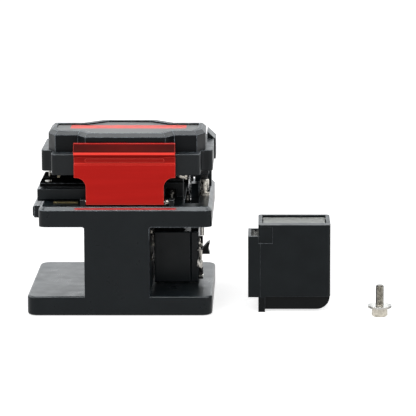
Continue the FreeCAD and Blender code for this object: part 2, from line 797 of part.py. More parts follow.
def make_carriage_trim():
    """Screws on the side plate and the thumb tab that pushes the carriage by hand."""
    screws = []
    for row in ("high", "low"):
        centre = (SIDE_SCREW_Y, f"side_screw_{row}")
        left = NECK_RIGHT
        right = f"{NECK_RIGHT} + side_screw_thick"
        if row == "high":
            left = f"{NECK_RIGHT} + pawl_thick + 0.1"
        head = rod(f"side_screw_{row}", "X", centre, "side_screw_radius", left, right)
        neck = rod(f"side_neck_{row}", "X", centre, "spindle_radius", NECK_RIGHT, right)
        key = socket(f"side_key_{row}", "X", centre, "side_screw_radius", f"{right} - 0.6", right)
        screws.append(carve(f"side_screw_keyed_{row}", fuse(f"side_screw_union_{row}", [head, neck]), [key]))
    sub_part(group("side_screw_set", screws), "side_screws")

    tab = new_body("thumb_tab")
    tab_y = ("tab_front", "tab_front + tab_depth")
    foot_z = ("tab_under", "tab_under + tab_high")
    brick(tab, (NECK_RIGHT, f"{NECK_RIGHT} + 1"), ("tab_front - 1", "tab_front + tab_depth + 1"), foot_z)
    reach = f"{NECK_RIGHT} + tab_reach"
    grip = [
        (f"{NECK_RIGHT} + 1", "tab_under"),
        (reach, "tab_under"),
        (f"{reach} - 0.6", "tab_under + tab_thick"),
        (f"{reach} + 0.1", "tab_under + tab_high + 0.8"),
        (f"{reach} - 0.8", "tab_under + tab_high + 0.4"),
        (f"{NECK_RIGHT} + 1", "tab_under + tab_thick"),
    ]
    prism(tab, "XZ_Plane", grip, *tab_y)


def make_pawl():
    """Tapered steel pawl that hangs on the upper side screw and ends in a forked foot."""
    body = new_body("index_pawl")
    x = (f"{NECK_RIGHT} + 0.05", f"{NECK_RIGHT} + 0.05 + pawl_thick")
    eye = (SIDE_SCREW_Y, "side_screw_high")
    disc(body, "YZ_Plane", eye, "side_screw_radius", *x)
    foot_z = "side_screw_high - pawl_length"
    arm = [
        (f"{SIDE_SCREW_Y} - pawl_top_width / 2", "side_screw_high"),
        (f"{SIDE_SCREW_Y} - pawl_foot_width / 2", f"{foot_z} + 2"),
        (f"{SIDE_SCREW_Y} - pawl_foot_width * 1.4", foot_z),
        (f"{SIDE_SCREW_Y} - pawl_foot_width * 0.8", foot_z),
        (SIDE_SCREW_Y, f"{foot_z} + 1.4"),
        (f"{SIDE_SCREW_Y} + pawl_foot_width * 0.8", foot_z),
        (f"{SIDE_SCREW_Y} + pawl_foot_width * 1.4", foot_z),
        (f"{SIDE_SCREW_Y} + pawl_foot_width / 2", f"{foot_z} + 2"),
        (f"{SIDE_SCREW_Y} + pawl_top_width / 2", "side_screw_high"),
    ]
    prism(body, "YZ_Plane", arm, *x)
    disc(body, "YZ_Plane", eye, "spindle_radius + pin_gap", *x, cut=True)


# ---------------------------------------------------------------- lid

LID_X = ("lid_centre - lid_half", "lid_centre + lid_half")
WING_X = ("lid_centre - wing_half", "lid_centre + wing_half")
CEILING = "lid_split - lid_wall"
CLAMP_FOOT = "fibre_height + fibre_room + rubber_thick"
LEFT_CLAMP_X = "(clamp_left + clamp_right) / 2"
RIGHT_CLAMP_X = "(right_clamp_left + right_clamp_right) / 2"
GUIDE_END = f"{CLAMP_FOOT} + clamp_head + clamp_travel + fibre_room"


def make_lid_housing():
    """Lower tier of the lid: a shell open below, with wings, clamp guides and hinge knuckles."""
    body = new_body("lid_housing")
    height = ("lid_under", "lid_split")
    prism(body, "XY_Plane", [
        (LID_X[0], "lid_front"), (LID_X[1], "lid_front"), (LID_X[1], "wing_front"), (WING_X[1], "wing_front"),
        (WING_X[1], "wing_back"), (LID_X[1], "wing_back + 1"), (LID_X[1], "lid_back"), (LID_X[0], "lid_back"),
        (LID_X[0], "wing_back + 1"), (WING_X[0], "wing_back"), (WING_X[0], "wing_front"), (LID_X[0], "wing_front"),
    ], *height)
    round_edges(body, "lid_corner", lambda e: runs_along(e, "z") and within(e, "Y", "lid_front", "wing_front"))
    round_edges(body, "edge_round / 2", lambda e: lies_at(e, "Z", "lid_under"))
    cavity_x = ("lid_centre - lid_half + lid_wall", "lid_centre + lid_half - lid_wall")
    brick(body, cavity_x, ("lid_front + lid_wall", "lid_back - lid_wall"), ("lid_under", CEILING), cut=True)
    pocket_x = (cavity_x[1], "lid_centre + wing_half - wing_wall")
    brick(body, pocket_x, ("wing_front + lid_wall", "wing_back - lid_wall"), ("lid_under", CEILING), cut=True)
    for centre_x in (LEFT_CLAMP_X, RIGHT_CLAMP_X):
        centre = (centre_x, "fibre_depth")
        disc(body, "XY_Plane", centre, "clamp_guide + 1", GUIDE_END, CEILING)
        disc(body, "XY_Plane", centre, "clamp_guide + pin_gap", GUIDE_END, CEILING, cut=True)
    arm = [
        ("lid_back - 1", "hinge_high - hinge_radius + 0.6"),
        ("hinge_back", "hinge_high - hinge_radius"),
        ("hinge_back", "hinge_high + hinge_radius"),
        ("lid_back - 1", "hinge_high + hinge_radius"),
    ]
    left_knuckle = "bracket_left + bracket_thick + body_gap"
    right_knuckle = "bracket_right - bracket_thick - body_gap - knuckle_width"
    for left in (left_knuckle, right_knuckle):
        right = f"{left} + knuckle_width"
        prism(body, "YZ_Plane", arm, left, right)
        disc(body, "YZ_Plane", ("hinge_back", "hinge_high"), "hinge_radius", left, right)
        bore = "hinge_pin_radius + pin_gap"
        disc(body, "YZ_Plane", ("hinge_back", "hinge_high"), bore, left, right, cut=True)


def cover_outline(inset):
    """Plan of the upper tier, drawn in from its edge by a border."""
    rim = f"({inset})"
    right = [
        ("boss_half", "cover_front", 1),
        ("boss_foot_half", "cover_step", 1),
        ("shoulder_half", "cover_step", 1),
        ("cover_half", "cover_corner", 1),
        ("cover_half", "cover_side_back", -1),
        ("cover_rear_foot", "cover_side_back", -1),
        ("cover_rear_half", "cover_back", -1),
    ]
    points = [(f"lid_centre + {half} - {rim}", f"{along} + {rim} * {sign}") for half, along, sign in right]
    mirrored = [(f"lid_centre - {half} + {rim}", f"{along} + {rim} * {sign}") for half, along, sign in right]
    return points + mirrored[::-1]


def make_lid_cover():
    """Upper tier of the lid, with bevelled top edges and a tray for the label plate."""
    body = new_body("lid_cover")
    prism(body, "XY_Plane", cover_outline("0"), "lid_split", "lid_top")
    bevel_edges(body, "cover_bevel", lambda e: lies_at(e, "Z", "lid_top"))
    prism(body, "XY_Plane", cover_outline("label_border"), "lid_top - label_deep", "lid_top", cut=True)
    hollow = ("lid_split", "lid_top - label_deep - lid_wall")
    hollow_x = ("lid_centre - boss_foot_half", "lid_centre + boss_foot_half")
    brick(body, hollow_x, ("cover_step + lid_wall", "cover_side_back - lid_wall"), hollow, cut=True)

    plate = new_body("label_plate")
    floor = "lid_top - label_deep"
    prism(plate, "XY_Plane", cover_outline("label_border + pin_gap"), floor, f"{floor} + label_thick")


def make_lid_tail():
    """Housing on the right rear of the lid, whose top slopes down to the right."""
    body = new_body("lid_tail")
    prism(body, "XZ_Plane", [
        ("tail_left", "lid_split"),
        (LID_X[1], "lid_split"),
        (LID_X[1], "lid_under"),
        ("tail_right", "lid_under"),
        ("tail_right", "tail_side_top"),
        ("tail_left", "tail_top"),
    ], "tail_front", "tail_back")
    round_edges(body, "edge_round / 2", lambda e: lies_at(e, "Y", "tail_back"))

    screws = []
    top = "lid_split + lid_screw_proud"
    rows = (("front", "cover_back + lid_screw_gap"), ("back", "lid_back - lid_screw_in"))
    for side, across in (("left", f"{LID_X[0]} + lid_screw_side"), ("right", "tail_left - lid_screw_side")):
        for end, along in rows:
            head = rod(f"lid_screw_{side}_{end}", "Z", (across, along), "lid_screw_radius", "lid_split", top)
            key = socket(f"lid_key_{side}_{end}", "Z", (across, along), "lid_key", f"{top} - lid_key_deep", top)
            screws.append(carve(f"lid_screw_keyed_{side}_{end}", head, [key]))
    sub_part(group("lid_screw_set", screws), "lid_screws")


def make_lid_feet():
    """Small parts under the lid's left side that press the fibre holder."""
    along = ("fibre_depth - 3", "fibre_depth + 3")
    foot = new_body("press_foot")
    brick(foot, ("press_foot_left", "press_foot_left + 1.9"), along, ("press_foot_under", "lid_under"))
    round_edges(foot, "edge_round", lambda e: lies_at(e, "Z", "press_foot_under") and runs_along(e, "y"))
    guide = new_body("ceramic_guide")
    low = "holder_plate_top + body_gap"
    brick(guide, ("press_foot_left + 2.1", "press_foot_left + 3.1"), along, (low, "lid_under"))
    pin = rod("press_rod", "Z", ("press_foot_left - 1", "fibre_depth"), "0.4", low, "lid_under")
    sub_part(pin, "press_pin")


def coil(label, axis, centre, radius, low, high, turns):
    """A round wire wound about an axis between two places."""
    helix = doc.addObject("Part::Helix", label + "_line")
    bind(helix, "Radius", radius)
    bind(helix, "Height", f"({high}) - ({low}) - spring_wire")
    bind(helix, "Pitch", f"(({high}) - ({low}) - spring_wire) / {turns}")
    ring = doc.addObject("Part::Circle", label + "_section")
    bind(ring, "Radius", "spring_wire / 2")
    ring.Placement = FreeCAD.Placement(FreeCAD.Vector(), FreeCAD.Rotation(FreeCAD.Vector(1, 0, 0), 90))
    bind(ring, "Placement.Base.x", radius)
    doc.recompute()
    sweep = doc.addObject("Part::Sweep", label + "_wire")
    sweep.Sections = [ring]
    sweep.Spine = (helix, [])
    sweep.Solid = True
    sweep.Frenet = True
    doc.recompute()
    wound = doc.addObject("Part::Compound", label + "_coil")
    wound.Links = [sweep]
    place_along(wound, axis, centre, f"({low}) + spring_wire / 2")
    return sub_part(wound, label)


def make_upper_clamp(side, centre_x, left, right, width):
    """Sprung clamp: a foot with a rubber face below and a stem that slides in the lid."""
    body = new_body(f"{side}_upper_clamp")
    along = (f"fibre_depth - {width} / 2", f"fibre_depth + {width} / 2")
    brick(body, (left, right), along, (CLAMP_FOOT, f"{CLAMP_FOOT} + clamp_head"))
    bevel_edges(body, "edge_round / 2", lambda e: lies_at(e, "Z", CLAMP_FOOT))
    stem_top = f"{GUIDE_END} + clamp_guide"
    disc(body, "XY_Plane", (centre_x, "fibre_depth"), "clamp_guide", f"{CLAMP_FOOT} + clamp_head", stem_top)
    rubber = new_body(f"{side}_upper_rubber")
    rubber_y = (f"{along[0]} + 0.8", f"{along[1]} - 0.8")
    brick(rubber, (f"{left} + 0.6", f"{right} - 0.6"), rubber_y, ("fibre_height + fibre_room", CLAMP_FOOT))
    wire_line = "spring_radius - spring_wire / 2"
    coil(f"{side}_clamp_spring", "Z", (centre_x, "fibre_depth"), wire_line, stem_top, CEILING, 2.5)


def make_clamps_and_anvil():
    make_upper_clamp("left", LEFT_CLAMP_X, "clamp_left", "clamp_right", "clamp_width")
    make_upper_clamp("right", RIGHT_CLAMP_X, "right_clamp_left", "right_clamp_right", "right_clamp_width")
    anvil = new_body("anvil")
    along = ("fibre_depth - anvil_width / 2", "fibre_depth + anvil_width / 2")
    brick(anvil, ("anvil_left", "anvil_right"), along, ("fibre_height + fibre_room", CEILING))
    bevel_edges(anvil, "edge_round / 2", lambda e: lies_at(e, "Z", "fibre_height + fibre_room"))


# ---------------------------------------------------------------- front latch

LATCH_PIN = ("latch_front + latch_thick / 2", "latch_under + latch_thick / 2")
WAIST_X = ("latch_centre - waist_half", "latch_centre + waist_half")
LATCH_X = ("latch_centre - latch_half", "latch_centre + latch_half")
LEFT_LUG = f"{WAIST_X[0]} - body_gap - latch_lug"
RIGHT_LUG = f"{WAIST_X[1]} + latch_spring_room"


def make_latch_plate():
    """Red plate that swings on a pin at its foot, with a groove, a rib and a finger ridge above."""
    body = new_body("latch_plate")
    back = "latch_front + latch_thick"
    upper_back = "cover_front - body_gap"
    ridge = "latch_front - latch_ridge_out"
    prism(body, "YZ_Plane", [
        ("latch_front", "latch_under"),
        ("latch_front", "latch_face_top"),
        ("latch_front + latch_groove", "latch_face_top + 0.6"),
        ("latch_front + latch_groove", "rib_top + 0.4"),
        (ridge, "latch_ridge - 0.5"),
        (ridge, "latch_ridge + 0.4"),
        (f"{upper_back} - 1.4", "latch_top"),
        (upper_back, "latch_top"),
        (upper_back, "lid_split - 0.5"),
        (back, "lid_split - 1.3"),
        (back, "latch_under"),
    ], *LATCH_X)
    notch_top = "waist_top + latch_curve"
    through = ("latch_front - 4", "latch_front + 4")
    for left, right in ((LATCH_X[0], WAIST_X[0]), (WAIST_X[1], LATCH_X[1])):
        prism(body, "XZ_Plane", rectangle(left, right, "latch_under", notch_top), *through, cut=True)
    round_edges(
        body, "latch_curve - 0.1",
        lambda e: runs_along(e, "y") and lies_at(e, "Z", notch_top) and within(e, "X", *WAIST_X),
    )
    round_edges(body, "latch_thick / 2 - 0.1", lambda e: runs_along(e, "x") and lies_at(e, "Z", "latch_under"))
    rib_x = ("latch_centre - waist_half - 0.2", "latch_centre + waist_half + 0.2")
    rib_y = ("latch_front + latch_groove - 0.5", "latch_front + latch_groove + 0.2")
    prism(body, "XZ_Plane", rectangle(*rib_x, "rib_under + 0.3", "rib_top"), *rib_y)
    round_edges(body, "0.6", lambda e: runs_along(e, "y") and within(e, "Z", "rib_under + 0.3", "rib_top"))
    disc(body, "YZ_Plane", LATCH_PIN, "latch_pin_radius + pin_gap", *WAIST_X, cut=True)


def make_latch_bracket():
    """Bar on the deck behind the plate, with a lug at each end for the pin."""
    body = new_body("latch_bracket")
    bar_front = "latch_front + latch_thick + 0.4"
    right_end = f"{RIGHT_LUG} + latch_lug"
    brick(body, (LEFT_LUG, right_end), (bar_front, f"{bar_front} + latch_bar"), ("deck_top", "deck_top + latch_bar"))
    lug_top = f"{LATCH_PIN[1]} + latch_thick / 2"
    for left in (LEFT_LUG, RIGHT_LUG):
        right = f"{left} + latch_lug"
        brick(body, (left, right), ("latch_front", bar_front), ("deck_top", lug_top))
        disc(body, "YZ_Plane", LATCH_PIN, "latch_pin_radius + press_gap", left, right, cut=True)
    round_edges(
        body, "edge_round",
        lambda e: runs_along(e, "x") and lies_at(e, "Z", lug_top) and lies_at(e, "Y", "latch_front"),
    )
    pin = rod("latch_pin_shaft", "X", LATCH_PIN, "latch_pin_radius", LEFT_LUG, right_end)
    sub_part(pin, "latch_pin")
    spring_x = (f"{WAIST_X[1]} + 0.25", f"{RIGHT_LUG} - 0.15")
    coil("latch_spring", "X", LATCH_PIN, "latch_pin_radius + 0.15 + spring_wire / 2", *spring_x, 3)


# ---------------------------------------------------------------- scrap box and its screw


def make_box_shell():
    """Scrap box: an open-topped shell with a rounded sump, a leg, a side mouth and a fixing ear."""
    body = new_body("box_shell")
    box_x = ("box_left", "box_right")
    box_y = ("box_front", "box_back")
    brick(body, box_x, box_y, ("box_under", "box_top"))
    round_edges(body, "box_corner", lambda e: runs_along(e, "z"))
    sump_right = "box_right - 0.2"
    sump_x = ("box_left + leg_width", sump_right)
    brick(body, sump_x, ("sump_front", "box_back - 1.4"), ("sump_under", "box_under"))
    round_edges(
        body, "sump_corner",
        lambda e: runs_along(e, "y") and lies_at(e, "Z", "sump_under") and lies_at(e, "X", sump_right),
    )
    brick(body, ("box_left", sump_x[0]), box_y, ("0", "box_under"))
    mouth_x = ("mouth_left", "box_left + box_wall / 2")
    brick(body, mouth_x, ("box_front", "mouth_back"), ("mouth_under", "mouth_top"))
    ear_y = ("box_back - 1", "ear_back")
    brick(body, ("box_left", "box_left + ear_thick"), ear_y, ("0", "ear_high"))
    seat = "box_lid_under - body_gap"
    wall = "box_wall"
    seat_x = (f"box_left + {wall}", f"box_right - {wall}")
    seat_y = ("box_front + box_rim_front", f"box_back - {wall}")
    brick(body, seat_x, seat_y, (seat, "box_top"), cut=True)
    inner_x = (f"{seat_x[0]} + 1", f"{seat_x[1]} - 1")
    inner_y = (f"box_front + {wall} + 1", f"{seat_y[1]} - 1")
    brick(body, inner_x, inner_y, (f"box_under + {wall}", seat), cut=True)
    sump_in = (f"{sump_x[0]} + {wall}", f"{sump_right} - sump_corner")
    brick(body, sump_in, inner_y, (f"sump_under + {wall}", f"box_under + {wall}"), cut=True)
    mouth_in_y = ("box_front + mouth_wall", "mouth_back - mouth_wall")
    mouth_in_z = ("mouth_under + mouth_wall", "mouth_top")
    brick(body, ("mouth_left + mouth_wall", "box_left"), mouth_in_y, mouth_in_z, cut=True)
    window_y = ("box_front + 3", "mouth_back - 2.2")
    brick(body, ("box_left", inner_x[0]), window_y, ("mouth_under + 4", "mouth_top - 2"), cut=True)
    brick(body, ("mouth_left", "mouth_left + mouth_wall"), window_y, ("mouth_under + 5", "mouth_top - 2"), cut=True)
    notch = rectangle("box_left", "box_left + notch_width", "notch_under", "box_top - 0.8")
    prism(body, "XZ_Plane", notch, "box_front", "box_front + 0.4", cut=True)
    # the ear's open slot is long enough for the screw with the box standing or seated
    slot_half = "thread_radius + ear_slot_gap"
    ear_x = ("box_left", "box_left + ear_thick")
    brick(body, ear_x, (f"fixing_y - ({slot_half})", f"fixing_y + {slot_half}"), ("0", "fixing_z"), cut=True)
    disc(body, "YZ_Plane", ("fixing_y", "fixing_z"), slot_half, *ear_x, cut=True)
    pin_at = box_pin_place()
    disc(body, "YZ_Plane", pin_at, "box_lid_pin + press_gap", "box_left + 0.5", "box_right - 0.5", cut=True)


def box_pin_place():
    barrel = "box_lid_thick / 2 + 0.2"
    return (f"box_back - box_wall - body_gap - ({barrel})", "box_lid_under + box_lid_thick / 2")


def make_box_lid():
    """Inset lid of the scrap box, on a pin at its back edge."""
    body = new_body("box_lid")
    along, high = box_pin_place()
    gap = "box_wall + body_gap"
    lid_x = (f"box_left + {gap}", f"box_right - ({gap})")
    lid_front = "box_front + box_rim_front + body_gap"
    brick(body, lid_x, (lid_front, along), ("box_lid_under", "box_lid_under + box_lid_thick"))
    disc(body, "YZ_Plane", (along, high), "box_lid_thick / 2 + 0.2", *lid_x)
    disc(body, "YZ_Plane", (along, high), "box_lid_pin + pin_gap", *lid_x, cut=True)
    finger_x = ("(box_left + box_right) / 2 - 4", "(box_left + box_right) / 2 + 4")
    finger_y = (lid_front, f"{lid_front} + 2")
    brick(body, finger_x, finger_y, ("box_lid_under + 0.5", "box_lid_under + box_lid_thick"), cut=True)
    pin = rod("box_pin_shaft", "X", (along, high), "box_lid_pin", "box_left + 0.6", "box_right - 0.6")
    sub_part(pin, "box_lid_pin")


def make_fixing_screw():
    """M3 screw that fixes the scrap box, stood on its head, with its washer."""
    centre = ("screw_x", "screw_y")
    chamfer = doc.addObject("Part::Cone", "screw_foot")
    bind(chamfer, "Radius1", "screw_head_radius - 0.5")
    bind(chamfer, "Radius2", "screw_head_radius")
    bind(chamfer, "Height", "0.5")
    place_along(chamfer, "Z", centre, "0")
    head = rod("screw_head", "Z", centre, "screw_head_radius", "0.5", "screw_head_high")
    thread_top = "screw_head_high + screw_flange_high + thread_long"
    thread = rod("screw_thread", "Z", centre, "thread_radius", "screw_head_high", f"{thread_top} - 0.4")
    tip = doc.addObject("Part::Cone", "screw_tip")
    bind(tip, "Radius1", "thread_radius")
    bind(tip, "Radius2", "thread_radius - 0.4")
    bind(tip, "Height", "0.4")
    place_along(tip, "Z", centre, f"{thread_top} - 0.4")
    key = socket("screw_key", "Z", centre, "2.5", "0", "1.8")
    sub_part(carve("screw_cut", fuse("screw_union", [chamfer, head, thread, tip]), [key]), "fixing_screw")
    high = ("screw_head_high", "screw_head_high + screw_flange_high")
    disc_blank = rod("washer_blank", "Z", centre, "screw_flange_radius", *high)
    bore = rod("washer_bore", "Z", centre, "thread_radius + press_gap", *high)
    sub_part(carve("washer_cut", disc_blank, [bore]), "screw_washer")


# ---------------------------------------------------------------- build, check and write

MAKERS = [
    make_frame_casting,
    make_base_pad,
    make_guide_rail,
    make_rail_screws,
    make_striker_pin,
    make_fibre_holder,
    make_lower_clamps,
    make_hinge_brackets,
    make_carriage_block,
    make_blade_plate,
    make_blade_spindle,
    make_blade_wheel,
    make_carriage_trim,
    make_pawl,
    make_lid_housing,
    make_lid_cover,
    make_lid_tail,
    make_lid_feet,
    make_clamps_and_anvil,
    make_latch_plate,
    make_latch_bracket,
    make_box_shell,
    make_box_lid,
    make_fixing_screw,
]


def check_model():
    doc.recompute()
    for thing in doc.Objects:
        if "Invalid" in thing.State or "Error" in thing.State:
            raise RuntimeError(f"{thing.Label} could not be built: {thing.State}")
    for thing in sub_parts:
        if thing.Shape.isNull() or not thing.Shape.isValid():
            raise RuntimeError(f"{thing.Label} has no valid shape")


def write_parts():
    os.makedirs("parts", exist_ok=True)
    for thing in sub_parts:
        thing.Shape.exportStep(f"parts/{thing.Label}.step")


fill_sheet()
for maker in MAKERS:
    maker()
check_model()
write_parts()
print(len(sub_parts), "sub-parts written")
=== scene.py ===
import json
import math
import random

import bmesh
import bpy
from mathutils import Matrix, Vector


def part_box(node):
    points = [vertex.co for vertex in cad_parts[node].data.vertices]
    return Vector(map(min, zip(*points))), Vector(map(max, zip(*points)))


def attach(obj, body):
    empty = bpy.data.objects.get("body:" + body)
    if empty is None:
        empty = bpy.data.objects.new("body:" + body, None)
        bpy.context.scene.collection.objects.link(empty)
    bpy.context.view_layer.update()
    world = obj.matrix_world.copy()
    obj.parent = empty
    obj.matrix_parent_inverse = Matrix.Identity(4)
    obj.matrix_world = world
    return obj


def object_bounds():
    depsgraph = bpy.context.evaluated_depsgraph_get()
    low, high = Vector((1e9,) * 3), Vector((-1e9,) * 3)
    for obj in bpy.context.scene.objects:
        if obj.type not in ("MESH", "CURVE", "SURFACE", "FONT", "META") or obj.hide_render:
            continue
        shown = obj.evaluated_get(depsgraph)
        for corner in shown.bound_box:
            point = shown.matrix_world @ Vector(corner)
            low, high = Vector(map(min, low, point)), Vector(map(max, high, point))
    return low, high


# The fibre cleaver's looks: materials for every CAD node, fine pieces that ride on the
# CAD bodies, and the floor, lamps and camera. Blender's lengths are in metres. Outlines and
# the places where a material changes are in millimetres, and MM turns them into metres.

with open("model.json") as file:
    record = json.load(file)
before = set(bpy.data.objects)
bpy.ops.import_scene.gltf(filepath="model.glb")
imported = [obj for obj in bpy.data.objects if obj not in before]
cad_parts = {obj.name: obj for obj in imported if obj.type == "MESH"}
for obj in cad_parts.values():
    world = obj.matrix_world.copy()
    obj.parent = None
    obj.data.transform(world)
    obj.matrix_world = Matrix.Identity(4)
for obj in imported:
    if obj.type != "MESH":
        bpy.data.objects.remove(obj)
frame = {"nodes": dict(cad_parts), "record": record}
cad_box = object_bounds()
nodes = frame["nodes"]
MM = 0.001

# Strengths of the softboxes and the room as shiny faces reflect them, of the room as a
# lamp, and of the floor as the camera and reflections see it.
OVERHEAD_BOX = 20.0
SIDE_BOXES = 10.0
BACK_BOX = 0.9
ROOM_FRONT = 0.5
ROOM_BACK = 1.0
ROOM_LIGHT = 0.5
FLOOR_GLOW = 0.7
WHITE = (1.0, 1.0, 1.0)
SOFTBOX_TINT = (0.95, 0.98, 1.0)

# The camera looks straight along Y, tilted down by an angle in radians.
CAMERA_PLACE = (0.05494, -0.97643, 0.21799)
CAMERA_TILT = 0.184616
LENS = 221.6
SENSOR = 36.0
SHIFT = -0.137

# Tones that several materials share.
ANODISED_DARK = (0.0030, 0.0048, 0.0060)
ANODISED_LIGHT = (0.0052, 0.0074, 0.0088)
MOULDING_DARK = (0.0042, 0.0056, 0.0066)
MOULDING_LIGHT = (0.0072, 0.0088, 0.0100)


def span(node, axis):
    """Where a CAD node begins and ends along one axis, in millimetres."""
    low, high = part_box(node)
    index = "XYZ".index(axis)
    return low[index] / MM, high[index] / MM


DECK_TOP = span("latch_bracket", "Z")[0]


# ---------------------------------------------------------------- node helpers


class Nodes:
    """Short ways to add and link the nodes of a tree."""

    def __init__(self, tree):
        self.tree = tree

    def link(self, source, target):
        self.tree.links.new(source, target)

    def feed(self, part, socket):
        """Joins a link to a socket, or writes a number or colour on it."""
        if isinstance(part, bpy.types.NodeSocket):
            self.link(part, socket)
        else:
            socket.default_value = part

    def range(self, source, low, high, from_low=0.3, from_high=0.7, smooth=False):
        """Maps a value from one range to another."""
        node = self.tree.nodes.new("ShaderNodeMapRange")
        node.interpolation_type = "SMOOTHSTEP" if smooth else "LINEAR"
        node.inputs["From Min"].default_value = from_low
        node.inputs["From Max"].default_value = from_high
        node.inputs["To Min"].default_value = low
        node.inputs["To Max"].default_value = high
        self.link(source, node.inputs["Value"])
        return node.outputs[0]

    def blend(self, factor, dark, light):
        """A colour between two, by a factor that is a link or a number."""
        node = self.tree.nodes.new("ShaderNodeMix")
        node.data_type = "RGBA"
        for name, part in (("Factor", factor), ("A", dark), ("B", light)):
            socket = [s for s in node.inputs if s.name == name and s.enabled][0]
            plain_colour = name != "Factor" and not isinstance(part, bpy.types.NodeSocket)
            self.feed((*part, 1) if plain_colour else part, socket)
        return [s for s in node.outputs if s.enabled][0]

    def math(self, operation, first, second=0.0):
        """A sum, product or other operation on links or numbers."""
        node = self.tree.nodes.new("ShaderNodeMath")
        node.operation = operation
        for socket, part in zip(node.inputs, (first, second)):
            self.feed(part, socket)
        return node.outputs[0]


class Shader(Nodes):
    """A new material and the nodes of its surface."""

    def __init__(self, name):
        self.material = bpy.data.materials.new(name)
        self.material.use_nodes = True
        super().__init__(self.material.node_tree)
        self.tree.nodes.clear()
        self.surface = self.tree.nodes.new("ShaderNodeBsdfPrincipled")
        output = self.tree.nodes.new("ShaderNodeOutputMaterial")
        self.link(self.surface.outputs[0], output.inputs["Surface"])
        coordinates = self.tree.nodes.new("ShaderNodeTexCoord")
        self.place = coordinates.outputs["Object"]

    def set(self, **values):
        """Plain numbers on the surface's own sockets, named with underscores."""
        for name, number in values.items():
            self.surface.inputs[name.replace("_", " ")].default_value = number
        return self

    def mapped(self, scale):
        """Object coordinates stretched by a scale along each axis."""
        mapping = self.tree.nodes.new("ShaderNodeMapping")
        mapping.inputs["Scale"].default_value = scale
        self.link(self.place, mapping.inputs["Vector"])
        return mapping.outputs[0]

    def noise(self, scale, detail=4.0, roughness=0.6, stretch=(1, 1, 1)):
        """Fine unevenness over the object, longer along an axis whose stretch is small."""
        node = self.tree.nodes.new("ShaderNodeTexNoise")
        node.inputs["Scale"].default_value = scale
        node.inputs["Detail"].default_value = detail
        node.inputs["Roughness"].default_value = roughness
        self.link(self.mapped(stretch), node.inputs["Vector"])
        return node.outputs[0]

    def axis(self, name):
        """One coordinate of the place on the object, in millimetres."""
        split = self.tree.nodes.new("ShaderNodeSeparateXYZ")
        self.link(self.place, split.inputs[0])
        return self.math("MULTIPLY", split.outputs[name], 1 / MM)

    def between(self, source, low, high, soft):
        """1 between two values and 0 outside, with a soft step at each."""
        rise = self.range(source, 0.0, 1.0, low - soft, low + soft)
        fall = self.range(source, 1.0, 0.0, high - soft, high + soft)
        return self.math("MULTIPLY", rise, fall)

    def rounded(self, radius):
        """The surface's normal as if its edges were rounded by a radius."""
        bevel = self.tree.nodes.new("ShaderNodeBevel")
        bevel.samples = 6
        bevel.inputs["Radius"].default_value = radius
        return bevel.outputs[0]

    def edges(self, width):
        """1 near the solid's edges and 0 on its faces, from how a rounded normal differs."""
        geometry = self.tree.nodes.new("ShaderNodeNewGeometry")
        product = self.tree.nodes.new("ShaderNodeVectorMath")
        product.operation = "DOT_PRODUCT"
        self.link(self.rounded(width), product.inputs[0])
        self.link(geometry.outputs["Normal"], product.inputs[1])
        return self.range(product.outputs["Value"], 1.0, 0.0, 0.86, 0.995)

    def colour(self, source):
        self.link(source, self.surface.inputs["Base Color"])
        return self

    def rough(self, source):
        self.link(source, self.surface.inputs["Roughness"])
        return self

    def bump(self, height, strength, distance, soft=None):
        """Relief from a height, over edges rounded by a soft radius."""
        node = self.tree.nodes.new("ShaderNodeBump")
        node.inputs["Strength"].default_value = strength
        node.inputs["Distance"].default_value = distance
        self.link(height, node.inputs["Height"])
        if soft:
            self.link(self.rounded(soft), node.inputs["Normal"])
        self.link(node.outputs[0], self.surface.inputs["Normal"])
        return self


# ---------------------------------------------------------------- materials


def black_anodised(name="black_anodised", tone=1.0, scuff_and_highlight_strength=0.3, scuff_and_highlight_colour=(0.26, 0.285, 0.31)):
    """Satin black anodised aluminium: a fine bead-blasted grain and paler edges, partly scuffed and partly
    painted highlight.
    """
    s = Shader(name).set(Specular_IOR_Level=0.15)
    # A tone below 1 darkens this copy as painted shade.
    dark = [part * tone for part in ANODISED_DARK]
    light = [part * tone for part in ANODISED_LIGHT]
    face = s.blend(s.range(s.noise(90, 3), 0, 1), dark, light)
    # Paler edges: partly scuffed, partly painted highlight.
    scuffed_and_lit_edges = s.math("MULTIPLY", s.edges(0.35 * MM), s.range(s.noise(700, 5), 0.2 * scuff_and_highlight_strength, scuff_and_highlight_strength))
    s.colour(s.blend(scuffed_and_lit_edges, face, scuff_and_highlight_colour))
    s.rough(s.range(s.noise(160, 4), 0.26, 0.36))
    return s.bump(s.noise(2600, 3), 0.16, 0.03 * MM, 0.25 * MM).material


